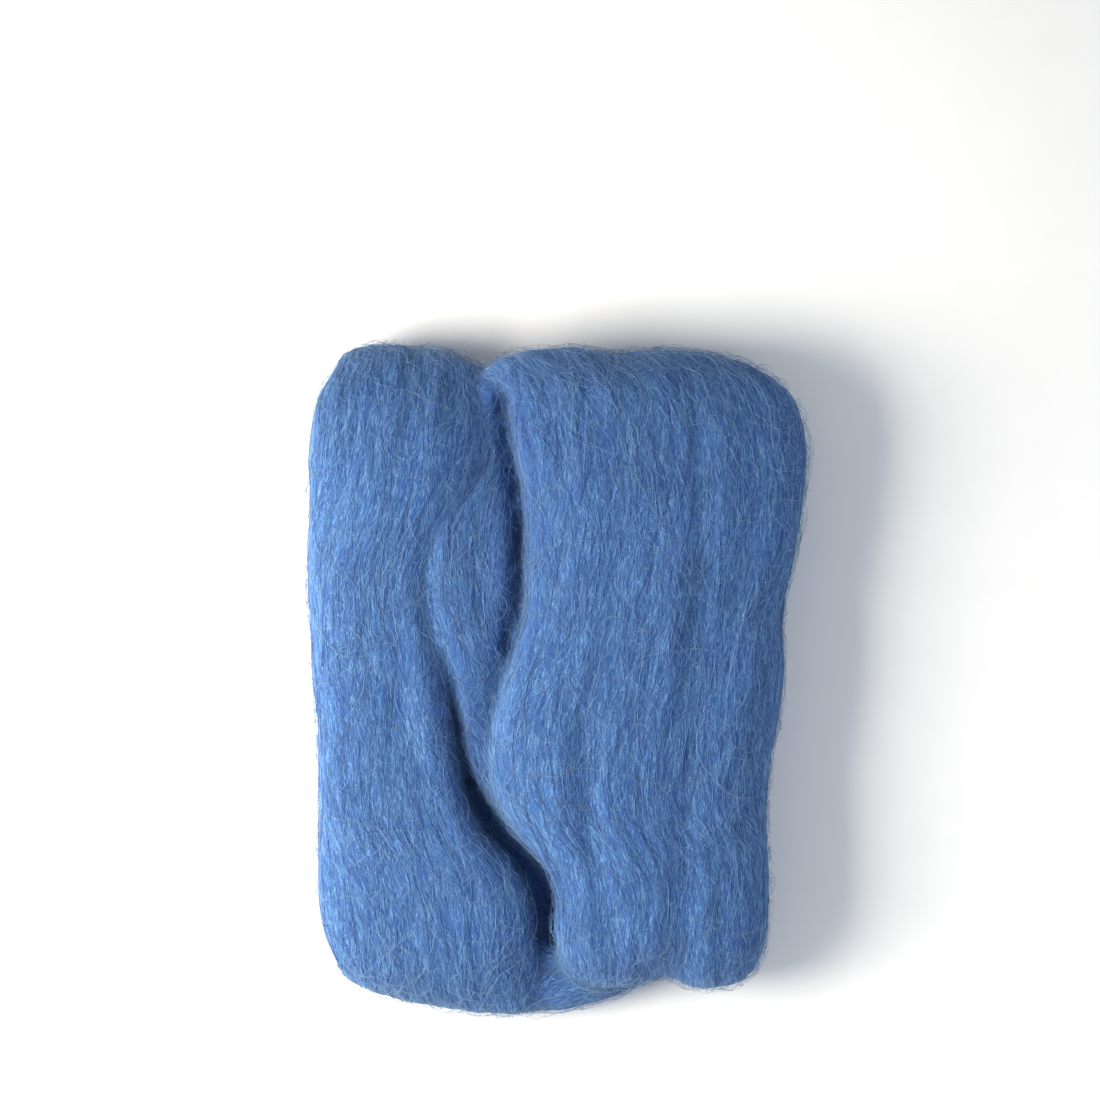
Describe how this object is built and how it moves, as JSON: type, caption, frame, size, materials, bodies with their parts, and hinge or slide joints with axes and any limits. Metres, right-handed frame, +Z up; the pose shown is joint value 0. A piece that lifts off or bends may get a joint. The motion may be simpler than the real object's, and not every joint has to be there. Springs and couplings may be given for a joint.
{
  "type": "wool roving",
  "caption": "Hank of combed blue wool roving, folded up and down in flat soft plies that overlap, lying on its back; fibre for felting and spinning.",
  "frame": {"origin": "on the surface that the hank lies on, under the middle of its box", "axes": "+Y along the hank, from its bottom folds to its top folds; +X to the right as its face is seen; +Z up from the surface, out of that face"},
  "size_m": [0.0995, 0.1342, 0.0246],
  "materials": {
    "wool": "soft matt combed wool, fibres along the plies, mid blue"
  },
  "bodies": {
    "root": {"roving": "wool"}
  },
  "joints": []
}
